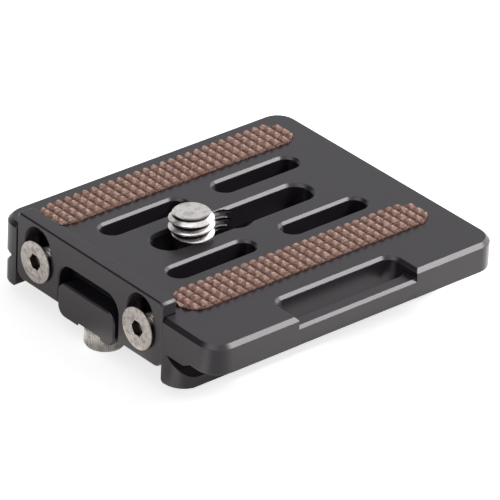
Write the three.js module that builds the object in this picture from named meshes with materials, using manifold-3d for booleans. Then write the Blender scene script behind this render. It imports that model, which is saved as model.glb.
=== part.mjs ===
// A quick-release plate for a tripod head: a machined dovetail plate with a captive camera screw,
// two grip pads, a strap window and an anti-twist lip that is raised or lowered on two clamp screws.
// Millimetres, +Z up. X runs along the dovetail from the lip's end to the free end, Y across it.
import * as THREE from "three";
import { mergeVertices } from "three/addons/utils/BufferGeometryUtils.js";
import Module from "manifold-3d";

const wasm = await Module();
wasm.setup();

// Plate. X is counted from the lip's outer face, Y from the dovetail's middle and Z from the top face.
const plateLength = 49.8;
const dovetailWidth = 38.4;
const farEdgeOverhang = 0.05;
const flangeThickness = 5.1;
const edgeChamfer = 0.6;
const lowerEdgeBreak = 0.15;
const cornerRadius = 3.2;
const railSlope = 2.9;
const railFootWidth = 3.95;
const railFootHeight = 1.5;
const railEdgeChamfer = 0.15;
const railInnerChamfer = 0.35;
const channelDepth = 1.8;

// Slots in the top face
const middleSlotHalfWidth = 2.22;
const middleSlotLength = 26.8;
const middleSlotCentre = 24.75;
const middleSlotChamfer = 0.45;
const sideSlotHalfWidth = 1.57;
const sideSlotLength = 14.2;
const sideSlotChamfer = 0.4;
const sideSlotShift = 0.44;
const sideSlotSpacing = 19.6;
const sideSlotsCentre = 24.95;

// Threaded hole in the middle slot, through which the camera screw is put in or taken out
const escapeHoleBack = 0.45;
const cameraThreadRadius = 3.175;
const cameraThreadPitch = 1.27;
const cameraThreadDepth = 0.62;
const threadRootShare = 0.9;
const threadCrestShare = 0.2;
const escapeHoleClearance = 0.08;

// Strap side of the plate: its thinner edge, the strap window and the bar outside the window
const strapEdgeThickness = 4.35;
const strapEdgeGap = 0.2;
const strapEdgeRamp = 1.35;
const windowStart = 14.5;
const windowEnd = 35;
const windowGap = 1.1;
const windowWidth = 3.35;
const windowChamfer = 0.45;
const windowCornerRadius = 1.6;
const barThickness = 2;
const barDrop = 1.4;
const barChamfer = 0.45;
const barBevelWidth = 0.15;
const barBevelHeight = 1.15;

// Anti-twist lip
const lipThickness = 2.3;
const lipHeight = 9.95;
const lipRise = 2.1;
const lipTravel = 2.3;
const lipEndChamfer = 0.4;
const lipEdgeBreak = 0.22;
const lipCornerRadius = 1.5;
const lipSideGap = 0.1;
const lipBackGap = 0.05;
const lipOpeningTop = 1.5;
const lipOpeningRadius = 2.4;

// Boss of the plate that guides the lip and holds the stop screw
const bossSideGap = 0.3;
const bossTop = 4;
const bossLift = 0.4;
const bossProud = 0.35;
const bossCornerRadius = 1.6;
const bossEdgeBreak = 0.2;
const bossLength = 7;

// Lip clamp screws, M3 with a flat head
const lipScrewInset = 4.5;
const lipScrewEdgeDistance = 4.45;
const lipScrewDrop = 3.5;
const lipScrewHeadRadius = 3;
const lipScrewHeadProud = 0.5;
const lipScrewHeadRim = 0.2;
const lipScrewHeadTaper = 1.5;
const lipScrewHeadBreak = 0.12;
const lipScrewLength = 8;
const lipScrewTipChamfer = 0.3;
const lipScrewSocket = 2;
const lipScrewSocketDepth = 1.1;
const lipScrewSeatGap = 0.08;
const smallThreadRadius = 1.5;
const smallThreadGap = 0.05;
const lipSlotHalfWidth = 1.75;
const lipScrewHoleSpare = 1;

// Stop screws, M3 with a cylindrical head
const stopScrewPlace = 2.4;
const stopScrewEndDistance = 3.5;
const stopScrewOffset = 0.85;
const stopScrewHeadRadius = 2.8;
const stopScrewHeadHeight = 2.8;
const stopScrewHeadBreak = 0.3;
const stopScrewLength = 3.9;
const stopScrewHoleSpare = 0.25;
const stopScrewSocket = 2.5;
const stopScrewSocketDepth = 1.5;
const stopScrewLandDepth = 0.55;
const stopScrewLandRadius = 3.6;

// Camera screw and its washer
const cameraScrewBack = 7.25;
const cameraScrewRise = 3.13;
const cameraScrewTopRadius = 2.5;
const cameraScrewThreadGap = 0.05;
const cameraScrewThreadStart = 0.45;
const cameraScrewNeckGap = 0.12;
const cameraScrewHeadRadius = 4.7;
const cameraScrewHeadHeight = 3.1;
const cameraScrewHeadBreak = 0.35;
const cameraScrewSocket = 4;
const cameraScrewSocketDepth = 2.4;
const screwPocketDepth = 3.6;
const screwPocketGap = 0.25;
const washerThickness = 0.5;
const washerInnerRadius = 3.3;
const washerRim = 1.25;

// Grip pads
const padLipDistance = 1.25;
const padEndDistance = 3.5;
const padWidth = 5.7;
const padEdgeDistance = 2.55;
const padProud = 0.55;
const padPocketDepth = 0.7;
const padGap = 0.06;

// The pyramids moulded on the grip pads, and how far one of their tips lies from the middle of each pad
const pyramidPitch = 1.5;
const pyramidDepth = 0.5;
const farPyramidShiftAlong = -0.34;
const farPyramidShiftAcross = -0.05;
const nearPyramidShiftAlong = -0.21;
const nearPyramidShiftAcross = 0.09;

// How far a cutting shape runs past what it cuts
const overrun = 1;

// Across the plate: from the rails in to the lip, its screws and the boss, and out to the flange's edges
const railHalfWidth = dovetailWidth / 2;
const neckHalfWidth = railHalfWidth - railSlope;
const channelHalfWidth = railHalfWidth - railFootWidth;
const lipHalfWidth = channelHalfWidth - lipSideGap;
const lipScrewOffset = lipHalfWidth - lipScrewEdgeDistance;
const bossHalfWidth = lipScrewOffset - lipScrewInset - bossSideGap;
const plateFarEdge = railHalfWidth + farEdgeOverhang;
const strapEdgeStart = railHalfWidth + strapEdgeGap;
const windowFarSide = railHalfWidth + windowGap;
const barInnerFace = windowFarSide + windowWidth;
const plateNearEdge = barInnerFace + barThickness;
const plateWidth = plateFarEdge + plateNearEdge;
const plateMiddleY = (plateFarEdge - plateNearEdge) / 2;

// The grip pads on each side of the dovetail's middle, and the side slots inside them
const padOffset = plateFarEdge - padEdgeDistance - padWidth / 2;
const padInnerSide = padOffset - padWidth / 2;
const sideSlotOffset = (padInnerSide + middleSlotHalfWidth) / 2 + sideSlotShift;

// Down the plate: from the flange to the rails' feet, the channel between them and the boss's land
const plateHeight = flangeThickness + railSlope + railFootHeight;
const undersideDepth = plateHeight - channelDepth;
const bossBottom = plateHeight - bossLift;

// Along the plate: the lip's back plane, the pads, the camera screw and its hole, and the last stop screw
const plateMiddleX = plateLength / 2;
const lipPlaneX = lipThickness + lipBackGap;
const padStart = lipPlaneX + padLipDistance;
const padEnd = plateLength - padEndDistance;
const padLength = padEnd - padStart;
const padCentre = (padStart + padEnd) / 2;
const cameraScrewPlace = middleSlotCentre - cameraScrewBack;
const escapeHolePlace = middleSlotCentre - escapeHoleBack;
const stopScrewFreePlace = plateLength - stopScrewEndDistance;

// Steps of a full circle, and of a rounded corner
const roundSteps = 40;
const smallRoundSteps = 32;
const cornerSteps = 6;
const slotEndSteps = 14;
const threadStepsPerTurn = 18;

// A closed mesh as a solid that can be cut and joined.
function solidOf(geometry) {
  const bare = geometry.clone();
  bare.deleteAttribute("normal");
  bare.deleteAttribute("uv");
  const merged = mergeVertices(bare);
  return new wasm.Manifold(
    new wasm.Mesh({
      numProp: 3,
      vertProperties: merged.attributes.position.array,
      triVerts: new Uint32Array(merged.index.array),
    }),
  );
}

// A solid as a mesh geometry with flat faces.
function geometryOf(solid) {
  const mesh = solid.getMesh();
  const geometry = new THREE.BufferGeometry();
  geometry.setAttribute("position", new THREE.BufferAttribute(mesh.vertProperties, 3));
  geometry.setIndex(new THREE.BufferAttribute(mesh.triVerts, 1));
  const flat = geometry.toNonIndexed();
  flat.computeVertexNormals();
  return flat;
}

// The solid left of the first when the others are cut away.
function cut(solid, ...cutters) {
  return cutters.reduce((rest, cutter) => rest.subtract(cutter), solid);
}

// The solids joined into one.
function join(solid, ...others) {
  return others.reduce((sum, other) => sum.add(other), solid);
}

// A box between two corners.
function boxBetween(low, high) {
  const size = high.map((value, axis) => value - low[axis]);
  const geometry = new THREE.BoxGeometry(...size);
  geometry.translate(...high.map((value, axis) => (value + low[axis]) / 2));
  return solidOf(geometry);
}

// A rounded rectangle round a point of the plane, its corner radii from the lower left one to the right.
function roundedOutline(width, height, radii, centreX = 0, centreY = 0) {
  const corners = [
    [-1, -1, Math.PI],
    [1, -1, -Math.PI / 2],
    [1, 1, 0],
    [-1, 1, Math.PI / 2],
  ];
  const points = [];
  corners.forEach(([sideX, sideY, start], index) => {
    const radius = radii[index];
    const x = centreX + sideX * (width / 2 - radius);
    const y = centreY + sideY * (height / 2 - radius);
    const steps = radius > 0 ? cornerSteps : 0;
    for (let step = 0; step <= steps; step++) {
      const angle = start + (steps ? (step / steps) * (Math.PI / 2) : 0);
      points.push(new THREE.Vector2(x + radius * Math.cos(angle), y + radius * Math.sin(angle)));
    }
  });
  return points;
}

// A slot with round ends along the plane's first axis, grown by an offset.
function slotOutline(length, halfWidth, offset = 0) {
  const radius = halfWidth + offset;
  const reach = length / 2 - halfWidth;
  const points = [];
  [1, -1].forEach((side) => {
    for (let step = 0; step <= slotEndSteps; step++) {
      const angle = -Math.PI / 2 + (step / slotEndSteps) * Math.PI + (side < 0 ? Math.PI : 0);
      points.push(new THREE.Vector2(side * reach + radius * Math.cos(angle), radius * Math.sin(angle)));
    }
  });
  return points;
}

// A solid between two outlines of as many points, one at each level.
function loft(lowOutline, lowLevel, highOutline, highLevel) {
  const count = lowOutline.length;
  const positions = [];
  lowOutline.forEach((point) => positions.push(point.x, point.y, lowLevel));
  highOutline.forEach((point) => positions.push(point.x, point.y, highLevel));
  const faces = [];
  THREE.ShapeUtils.triangulateShape(lowOutline, []).forEach(([a, b, c]) => {
    faces.push(a, c, b);
    faces.push(a + count, b + count, c + count);
  });
  for (let i = 0; i < count; i++) {
    const next = (i + 1) % count;
    faces.push(i, next, next + count);
    faces.push(i, next + count, i + count);
  }
  const geometry = new THREE.BufferGeometry();
  geometry.setAttribute("position", new THREE.Float32BufferAttribute(positions, 3));
  geometry.setIndex(faces);
  return solidOf(geometry);
}

// The same outline at two levels.
function prism(outline, lowLevel, highLevel) {
  return loft(outline, lowLevel, outline, highLevel);
}

// Turns a solid whose outline lies in the YZ plane, drawn as XY, so that its levels run along X.
function alongX(solid) {
  const turn = new THREE.Matrix4().makeBasis(
    new THREE.Vector3(0, 1, 0),
    new THREE.Vector3(0, 0, 1),
    new THREE.Vector3(1, 0, 0),
  );
  return solid.transform(turn.elements);
}

// A solid turned about Z from points of radius and height that start and end on the axis.
function turned(points, steps = roundSteps) {
  const profile = points.map(([radius, height]) => new THREE.Vector2(radius, height));
  const geometry = new THREE.LatheGeometry(profile, steps);
  geometry.rotateX(Math.PI / 2);
  const solid = solidOf(geometry);
  return solid.volume() < 0 ? solidOf(flipped(geometry)) : solid;
}

// The same mesh with its faces turned round.
function flipped(geometry) {
  const other = geometry.clone();
  const index = other.index.array;
  for (let i = 0; i < index.length; i += 3) {
    [index[i + 1], index[i + 2]] = [index[i + 2], index[i + 1]];
  }
  return other;
}

// A cylinder along Z.
function rod(radius, lowLevel, highLevel, steps = roundSteps) {
  const points = [
    [0, lowLevel],
    [radius, lowLevel],
    [radius, highLevel],
    [0, highLevel],
  ];
  return turned(points, steps);
}

// A hexagonal hole along Z, given across its flats, with a corner turned by an angle.
function hexagon(acrossFlats, lowLevel, highLevel, turn = 0) {
  const radius = acrossFlats / 2 / Math.cos(Math.PI / 6);
  const outline = [];
  for (let side = 0; side < 6; side++) {
    const angle = turn + (side * Math.PI) / 3;
    outline.push(new THREE.Vector2(radius * Math.cos(angle), radius * Math.sin(angle)));
  }
  return prism(outline, lowLevel, highLevel);
}

// One unbroken thread ridge round Z from its root radius out to its crest, between two levels.
function threadRidge(rootRadius, crestRadius, pitch, lowLevel, highLevel) {
  const turns = (highLevel - lowLevel) / pitch;
  const steps = Math.ceil(turns * threadStepsPerTurn);
  const rootHalf = (pitch * threadRootShare) / 2;
  const crestHalf = (pitch * threadCrestShare) / 2;
  const section = [
    [rootRadius, -rootHalf],
    [crestRadius, -crestHalf],
    [crestRadius, crestHalf],
    [rootRadius, rootHalf],
  ];
  const count = section.length;
  const positions = [];
  const faces = [];
  for (let step = 0; step <= steps; step++) {
    const share = step / steps;
    const angle = share * turns * 2 * Math.PI;
    const level = lowLevel + share * (highLevel - lowLevel);
    section.forEach(([radius, height]) => {
      positions.push(radius * Math.cos(angle), radius * Math.sin(angle), level + height);
    });
  }
  for (let step = 0; step < steps; step++) {
    for (let corner = 0; corner < count; corner++) {
      const a = step * count + corner;
      const b = step * count + ((corner + 1) % count);
      faces.push(a, a + count, b + count);
      faces.push(a, b + count, b);
    }
  }
  const last = steps * count;
  faces.push(0, 1, 2, 0, 2, 3);
  faces.push(last, last + 2, last + 1, last, last + 3, last + 2);
  const geometry = new THREE.BufferGeometry();
  geometry.setAttribute("position", new THREE.Float32BufferAttribute(positions, 3));
  geometry.setIndex(faces);
  const solid = solidOf(geometry);
  return solid.volume() < 0 ? solidOf(flipped(geometry)) : solid;
}

// The plate's outline from above, drawn in by an inset.
function plateOutline(inset) {
  const radii = Array(4).fill(cornerRadius - inset);
  const length = plateLength - 2 * inset;
  const width = plateWidth - 2 * inset;
  return roundedOutline(length, width, radii, plateMiddleX, plateMiddleY);
}

// A slab of the plate's outline from the top face down, chamfered above and broken at its lower edge.
function slab(thickness) {
  const wallBottom = -thickness + lowerEdgeBreak;
  const upper = loft(plateOutline(0), -edgeChamfer, plateOutline(edgeChamfer), 0);
  const wall = prism(plateOutline(0), wallBottom, -edgeChamfer);
  const lower = loft(plateOutline(lowerEdgeBreak), -thickness, plateOutline(0), wallBottom);
  return join(wall, upper, lower);
}

// The wide upper flange: thick over the dovetail, thinner on the strap side, with a ramp between.
function flange() {
  const far = plateFarEdge + overrun;
  const rampEnd = strapEdgeStart + strapEdgeRamp;
  const profile = [
    [-rampEnd, -strapEdgeThickness],
    [-strapEdgeStart, -flangeThickness],
    [far, -flangeThickness],
    [far, 0],
    [-rampEnd, 0],
  ].map(([y, z]) => new THREE.Vector2(y, z));
  const thick = slab(flangeThickness).intersect(alongX(prism(profile, 0, plateLength)));
  return join(slab(strapEdgeThickness), thick);
}

// The dovetail below the flange: a neck, two rails with sloping tops and a shallow channel between them.
function dovetail() {
  const half = [
    [channelHalfWidth, -undersideDepth],
    [channelHalfWidth, -plateHeight + railInnerChamfer],
    [channelHalfWidth + railInnerChamfer, -plateHeight],
    [railHalfWidth - railEdgeChamfer, -plateHeight],
    [railHalfWidth, -plateHeight + railEdgeChamfer],
    [railHalfWidth, -flangeThickness - railSlope],
    [neckHalfWidth, -flangeThickness],
    [neckHalfWidth, -flangeThickness + edgeChamfer],
  ];
  const right = half.map(([y, z]) => new THREE.Vector2(y, z));
  const left = half.map(([y, z]) => new THREE.Vector2(-y, z)).reverse();
  const profile = alongX(prism([...right, ...left], 0, plateLength));
  const radii = Array(4).fill(cornerRadius);
  const plan = roundedOutline(plateLength, 2 * railHalfWidth, radii, plateMiddleX, 0);
  return profile.intersect(prism(plan, -plateHeight - overrun, 0));
}

// A chamfered slot through the plate, along X.
function slotCutter(length, halfWidth, chamfer, x, y) {
  const through = prism(slotOutline(length, halfWidth), -plateHeight - overrun, overrun);
  const mouth = loft(
    slotOutline(length, halfWidth),
    -chamfer,
    slotOutline(length, halfWidth, chamfer + overrun),
    overrun,
  );
  return join(through, mouth).translate([x, y, 0]);
}

// The four lightening slots beside the middle one.
function sideSlotCutters() {
  const cutters = [];
  [-1, 1].forEach((sideX) => {
    [-1, 1].forEach((sideY) => {
      const x = sideSlotsCentre + (sideX * sideSlotSpacing) / 2;
      const y = sideY * sideSlotOffset;
      cutters.push(slotCutter(sideSlotLength, sideSlotHalfWidth, sideSlotChamfer, x, y));
    });
  });
  return cutters;
}

// The threaded hole in the middle slot: a bore and a thread groove that runs out at the top face.
function escapeHoleCutter() {
  const crest = cameraThreadRadius + escapeHoleClearance;
  const bore = crest - cameraThreadDepth;
  const through = rod(bore, -plateHeight - overrun, overrun);
  const groove = threadRidge(
    bore - escapeHoleClearance,
    crest,
    cameraThreadPitch,
    -screwPocketDepth - cameraThreadPitch,
    cameraThreadPitch,
  );
  return join(through, groove).translate([escapeHolePlace, 0, 0]);
}

// The pocket in the underside that the camera screw's head runs in.
function screwPocketCutter() {
  const halfWidth = cameraScrewHeadRadius + screwPocketGap;
  const reach = middleSlotLength - 2 * middleSlotHalfWidth;
  const outline = slotOutline(reach + 2 * halfWidth, halfWidth);
  return prism(outline, -plateHeight - overrun, -screwPocketDepth).translate([middleSlotCentre, 0, 0]);
}

// The window for a strap: the opening itself, its chamfer, and the lowered top of the bar outside it.
function windowCutters() {
  const length = windowEnd - windowStart;
  const middle = (windowEnd + windowStart) / 2;
  const outer = plateNearEdge + windowCornerRadius + overrun;
  const opening = roundedOutline(
    length,
    windowWidth,
    Array(4).fill(windowCornerRadius),
    middle,
    -(barInnerFace + windowFarSide) / 2,
  );
  const recess = (offset) =>
    roundedOutline(
      length + 2 * offset,
      outer - windowFarSide + 2 * offset,
      Array(4).fill(windowCornerRadius + offset),
      middle,
      -(outer + windowFarSide) / 2,
    );
  return [
    prism(opening, -flangeThickness - overrun, 0),
    prism(recess(0), -barDrop, overrun),
    loft(recess(0), -windowChamfer, recess(windowChamfer + overrun), overrun),
  ];
}

// The edges taken off the bar: a chamfer at its top and a tall bevel below, where a strap bends round it.
function barEdgeCutters() {
  const outer = plateNearEdge + overrun;
  const top = [
    [-plateNearEdge + barChamfer, -barDrop],
    [-plateNearEdge + barChamfer, -barDrop + overrun],
    [-outer, -barDrop + overrun],
    [-outer, -barDrop - barChamfer],
    [-plateNearEdge, -barDrop - barChamfer],
  ];
  const bevel = [
    [-plateNearEdge + barBevelWidth, -strapEdgeThickness],
    [-plateNearEdge, -strapEdgeThickness + barBevelHeight],
    [-outer, -strapEdgeThickness + barBevelHeight],
    [-outer, -flangeThickness],
    [-plateNearEdge + barBevelWidth, -flangeThickness],
  ];
  return [top, bevel].map((points) => {
    const outline = points.map(([y, z]) => new THREE.Vector2(y, z));
    const ordered = THREE.ShapeUtils.isClockWise(outline) ? outline.reverse() : outline;
    return alongX(prism(ordered, windowStart, windowEnd));
  });
}

// The recess across the lip's end of the plate.
function lipRecessCutter() {
  return boxBetween(
    [-overrun, -channelHalfWidth, -plateHeight - overrun],
    [lipPlaneX, channelHalfWidth, overrun],
  );
}

// The boss that stands through the lip, with its land for the stop screw.
function boss() {
  const width = 2 * bossHalfWidth;
  const height = bossBottom - bossTop;
  const middle = -(bossBottom + bossTop) / 2;
  const outline = roundedOutline(width, height, Array(4).fill(bossCornerRadius), 0, middle);
  const inset = roundedOutline(
    width - 2 * bossEdgeBreak,
    height - 2 * bossEdgeBreak,
    Array(4).fill(bossCornerRadius - bossEdgeBreak),
    0,
    middle,
  );
  const face = loft(inset, -bossProud, outline, -bossProud + bossEdgeBreak);
  const body = prism(outline, -bossProud + bossEdgeBreak, bossLength);
  return alongX(join(face, body));
}

// The land under the free end that the second stop screw is fastened to.
function freeEndLand() {
  const outline = roundedOutline(
    2 * bossHalfWidth,
    bossBottom - undersideDepth + bossCornerRadius,
    [bossCornerRadius, bossCornerRadius, 0, 0].map((radius) => radius / 2),
    0,
    -(bossBottom + undersideDepth - bossCornerRadius) / 2,
  );
  return alongX(prism(outline, plateLength - bossLength, plateLength - edgeChamfer));
}

// The round seats of the stop screws' heads and their tapped holes.
function stopScrewCutters(x) {
  const seat = rod(stopScrewLandRadius, -plateHeight - overrun, -bossBottom + stopScrewLandDepth);
  const hole = rod(
    smallThreadRadius + smallThreadGap,
    -plateHeight - overrun,
    -bossBottom + stopScrewLandDepth + stopScrewLength + stopScrewHoleSpare,
    smallRoundSteps,
  );
  return join(seat, hole).translate([x, -stopScrewOffset, 0]);
}

// The tapped hole of one lip screw.
function lipScrewHoleCutter(side) {
  const end = lipScrewLength - lipScrewHeadProud + lipScrewHoleSpare;
  const hole = rod(smallThreadRadius + smallThreadGap, 0, end, smallRoundSteps);
  return hole.rotate([0, 90, 0]).translate([0, side * lipScrewOffset, -lipScrewDrop]);
}

// The shallow bed of one grip pad.
function padBedCutter(side) {
  const outline = slotOutline(padLength + 2 * padGap, padWidth / 2 + padGap);
  return prism(outline, -padPocketDepth, overrun).translate([padCentre, side * padOffset, 0]);
}

function plateBody() {
  const blank = join(flange(), dovetail());
  const opened = cut(
    blank,
    lipRecessCutter(),
    ...windowCutters(),
    ...barEdgeCutters(),
    ...sideSlotCutters(),
    slotCutter(middleSlotLength, middleSlotHalfWidth, middleSlotChamfer, middleSlotCentre, 0),
    escapeHoleCutter(),
    padBedCutter(-1),
    padBedCutter(1),
  );
  const raised = cut(join(opened, boss(), freeEndLand()), screwPocketCutter());
  return cut(
    raised,
    stopScrewCutters(stopScrewPlace),
    stopScrewCutters(stopScrewFreePlace),
    lipScrewHoleCutter(-1),
    lipScrewHoleCutter(1),
  );
}

// The lip, drawn with its front face at X = 0 and its top edge at the height it is raised to.
function antiTwistLip() {
  const bottom = lipRise - lipHeight;
  const middle = (lipRise + bottom) / 2;
  const outline = (inset) => {
    const chamfer = lipEndChamfer;
    const radius = lipCornerRadius - inset;
    const low = roundedOutline(
      2 * (lipHalfWidth - inset),
      lipHeight - 2 * inset,
      [radius, radius, 0, 0],
      0,
      middle,
    );
    const rounded = low.slice(0, 2 * (cornerSteps + 1));
    const y = lipHalfWidth - inset;
    const top = lipRise - inset;
    return [
      ...rounded,
      new THREE.Vector2(y, top - chamfer),
      new THREE.Vector2(y - chamfer, top),
      new THREE.Vector2(chamfer - y, top),
      new THREE.Vector2(-y, top - chamfer),
    ];
  };
  const front = loft(outline(lipEdgeBreak), 0, outline(0), lipEdgeBreak);
  const body = prism(outline(0), lipEdgeBreak, lipThickness);
  const openingBottom = -plateHeight - overrun;
  const opening = (offset) =>
    roundedOutline(
      2 * (bossHalfWidth + bossSideGap + offset),
      -lipOpeningTop - openingBottom + 2 * offset,
      [0, 0, lipOpeningRadius + offset, lipOpeningRadius + offset],
      0,
      (openingBottom - lipOpeningTop) / 2,
    );
  const through = prism(opening(0), -overrun, lipThickness + overrun);
  const mouth = loft(opening(lipEdgeBreak + overrun), -overrun, opening(0), lipEdgeBreak);
  const slots = [-1, 1].flatMap((side) => lipSlotCutters(side));
  return cut(alongX(join(front, body)), alongX(through), alongX(mouth), ...slots);
}

// One screw slot of the lip, countersunk all along, with the screw at its lower end.
function lipSlotCutters(side) {
  const cone = lipScrewHeadRadius - lipSlotHalfWidth;
  const coneDepth = (cone * lipScrewHeadTaper) / (lipScrewHeadRadius - smallThreadRadius);
  const seat = lipScrewHeadProud - lipScrewHeadRim;
  const narrowX = coneDepth - seat + lipScrewSeatGap;
  const slope = (lipScrewHeadRadius - smallThreadRadius) / lipScrewHeadTaper;
  const outline = (halfWidth) =>
    slotOutline(lipTravel + 2 * halfWidth, halfWidth).map((point) => new THREE.Vector2(-point.y, point.x));
  const through = prism(outline(lipSlotHalfWidth), -overrun, lipThickness + overrun);
  const wide = lipSlotHalfWidth + (narrowX + overrun) * slope;
  const mouth = loft(outline(wide), -overrun, outline(lipSlotHalfWidth), narrowX);
  const height = -lipScrewDrop + lipTravel / 2;
  return [through, mouth].map((cutter) => alongX(cutter.translate([side * lipScrewOffset, height, 0])));
}

// A flat-head clamp screw along Z, its face at zero and its tip above.
function lipScrew() {
  const rim = lipScrewHeadRim;
  const body = turned(
    [
      [0, 0],
      [lipScrewHeadRadius - lipScrewHeadBreak, 0],
      [lipScrewHeadRadius, lipScrewHeadBreak],
      [lipScrewHeadRadius, rim],
      [smallThreadRadius, rim + lipScrewHeadTaper],
      [smallThreadRadius, lipScrewLength - lipScrewTipChamfer],
      [smallThreadRadius - lipScrewTipChamfer, lipScrewLength],
      [0, lipScrewLength],
    ],
    smallRoundSteps,
  );
  return cut(body, hexagon(lipScrewSocket, -overrun, lipScrewSocketDepth));
}

// A cap screw along Z, its head below zero and its thread above.
function stopScrew() {
  const low = -stopScrewHeadHeight;
  const body = turned(
    [
      [0, low],
      [stopScrewHeadRadius - stopScrewHeadBreak, low],
      [stopScrewHeadRadius, low + stopScrewHeadBreak],
      [stopScrewHeadRadius, 0],
      [smallThreadRadius, 0],
      [smallThreadRadius, stopScrewLength - stopScrewHeadBreak],
      [smallThreadRadius - stopScrewHeadBreak, stopScrewLength],
      [0, stopScrewLength],
    ],
    smallRoundSteps,
  );
  return cut(body, hexagon(stopScrewSocket, low - overrun, low + stopScrewSocketDepth));
}

// The camera screw along Z, with zero at the plate's top face.
function cameraScrew() {
  const headTop = -screwPocketDepth - washerThickness;
  const headBottom = headTop - cameraScrewHeadHeight;
  const neckRadius = middleSlotHalfWidth - cameraScrewNeckGap;
  const root = cameraThreadRadius - cameraThreadDepth;
  const topChamfer = cameraThreadRadius - cameraScrewTopRadius;
  const core = turned([
    [0, headBottom],
    [cameraScrewHeadRadius - cameraScrewHeadBreak, headBottom],
    [cameraScrewHeadRadius, headBottom + cameraScrewHeadBreak],
    [cameraScrewHeadRadius, headTop],
    [neckRadius, headTop],
    [neckRadius, cameraScrewThreadGap],
    [root, cameraScrewThreadGap],
    [root, cameraScrewRise - topChamfer],
    [cameraScrewTopRadius, cameraScrewRise],
    [0, cameraScrewRise],
  ]);
  const ridge = threadRidge(
    root - escapeHoleClearance,
    cameraThreadRadius,
    cameraThreadPitch,
    cameraScrewThreadStart - cameraThreadPitch,
    cameraScrewRise + cameraThreadPitch,
  );
  const envelope = turned([
    [0, cameraScrewThreadGap],
    [cameraThreadRadius, cameraScrewThreadGap],
    [cameraThreadRadius, cameraScrewRise - topChamfer],
    [cameraScrewTopRadius, cameraScrewRise],
    [0, cameraScrewRise],
  ]);
  const socket = hexagon(cameraScrewSocket, headBottom - overrun, headBottom + cameraScrewSocketDepth);
  return cut(join(core, ridge.intersect(envelope)), socket);
}

// The washer between the plate and the camera screw's head.
function cameraScrewWasher() {
  const outer = washerInnerRadius + washerRim;
  const low = -screwPocketDepth - washerThickness;
  const disc = rod(outer, low, -screwPocketDepth);
  return cut(disc, rod(washerInnerRadius, low - overrun, -screwPocketDepth + overrun));
}

// A block round the Z axis with a field of four-sided pyramids on top, the middle one's tip on the axis.
function pyramidBlock(length, width, bottom, top) {
  const [columns, rows] = [length, width].map((size) => 2 * Math.ceil(size / 2 / pyramidPitch) + 1);
  const placeOf = (index, count) => (index - count / 2) * pyramidPitch;
  const positions = [];
  const faces = [];
  const addPoint = (x, y, z) => positions.push(x, y, z) / 3 - 1;
  const cornersAt = (level) =>
    Array.from({ length: columns + 1 }, (_, column) =>
      Array.from({ length: rows + 1 }, (_, row) =>
        addPoint(placeOf(column, columns), placeOf(row, rows), level),
      ),
    );
  const low = cornersAt(bottom);
  const high = cornersAt(top - pyramidDepth);
  const addWall = (from, to, above, aboveFrom) => faces.push(from, to, above, from, above, aboveFrom);
  for (let column = 0; column < columns; column++) {
    for (let row = 0; row < rows; row++) {
      const around = [
        [column, row],
        [column + 1, row],
        [column + 1, row + 1],
        [column, row + 1],
      ];
      const [a, b, c, d] = around.map(([i, j]) => low[i][j]);
      addWall(d, c, b, a);
      const rim = around.map(([i, j]) => high[i][j]);
      const tip = addPoint(placeOf(column + 1 / 2, columns), placeOf(row + 1 / 2, rows), top);
      rim.forEach((corner, side) => faces.push(corner, rim[(side + 1) % rim.length], tip));
    }
    addWall(low[column][0], low[column + 1][0], high[column + 1][0], high[column][0]);
    addWall(low[column + 1][rows], low[column][rows], high[column][rows], high[column + 1][rows]);
  }
  for (let row = 0; row < rows; row++) {
    addWall(low[0][row + 1], low[0][row], high[0][row], high[0][row + 1]);
    addWall(low[columns][row], low[columns][row + 1], high[columns][row + 1], high[columns][row]);
  }
  const geometry = new THREE.BufferGeometry();
  geometry.setAttribute("position", new THREE.Float32BufferAttribute(positions, 3));
  geometry.setIndex(faces);
  return solidOf(geometry);
}

// One grip pad, its underside at zero, with its field of pyramids shifted from its middle.
function gripPad(shiftAlong, shiftAcross) {
  const top = padPocketDepth + padProud;
  const margin = 2 * pyramidPitch;
  const slab = prism(slotOutline(padLength, padWidth / 2), 0, top + overrun);
  const block = pyramidBlock(padLength + margin, padWidth + margin, -overrun, top);
  return slab.intersect(block.translate([shiftAlong, shiftAcross, 0]));
}

// Finishes
const anodised = { color: 0x4a484a, roughness: 0.55, metalness: 0.6 };
const stainless = { color: 0xb4aaa4, roughness: 0.4, metalness: 1 };
const brightSteel = { color: 0xe6e4e4, roughness: 0.22, metalness: 1 };
const padRubber = { color: 0x96705f, roughness: 0.85, metalness: 0 };
const paleNylon = { color: 0xd8d4c8, roughness: 0.6, metalness: 0 };

function piece(name, solid, finish) {
  const mesh = new THREE.Mesh(geometryOf(solid), new THREE.MeshStandardMaterial(finish));
  mesh.name = name;
  return mesh;
}

const plate = new THREE.Group();
plate.add(piece("plate_body", plateBody(), anodised));

const lip = piece("anti_twist_lip", antiTwistLip(), anodised);
plate.add(lip);

[
  ["near", -1, nearPyramidShiftAlong, nearPyramidShiftAcross],
  ["far", 1, farPyramidShiftAlong, farPyramidShiftAcross],
].forEach(([side, sign, shiftAlong, shiftAcross]) => {
  const screw = piece("lip_screw_" + side, lipScrew(), stainless);
  screw.position.set(-lipScrewHeadProud, sign * lipScrewOffset, -lipScrewDrop);
  screw.rotation.set(0, Math.PI / 2, 0);
  plate.add(screw);
  const pad = piece("grip_pad_" + side, gripPad(shiftAlong, shiftAcross), padRubber);
  pad.position.set(padCentre, sign * padOffset, -padPocketDepth);
  plate.add(pad);
});

[
  ["lip_end", stopScrewPlace],
  ["free_end", stopScrewFreePlace],
].forEach(([end, x]) => {
  const screw = piece("stop_screw_" + end, stopScrew(), stainless);
  screw.position.set(x, -stopScrewOffset, -bossBottom + stopScrewLandDepth);
  plate.add(screw);
});

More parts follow.
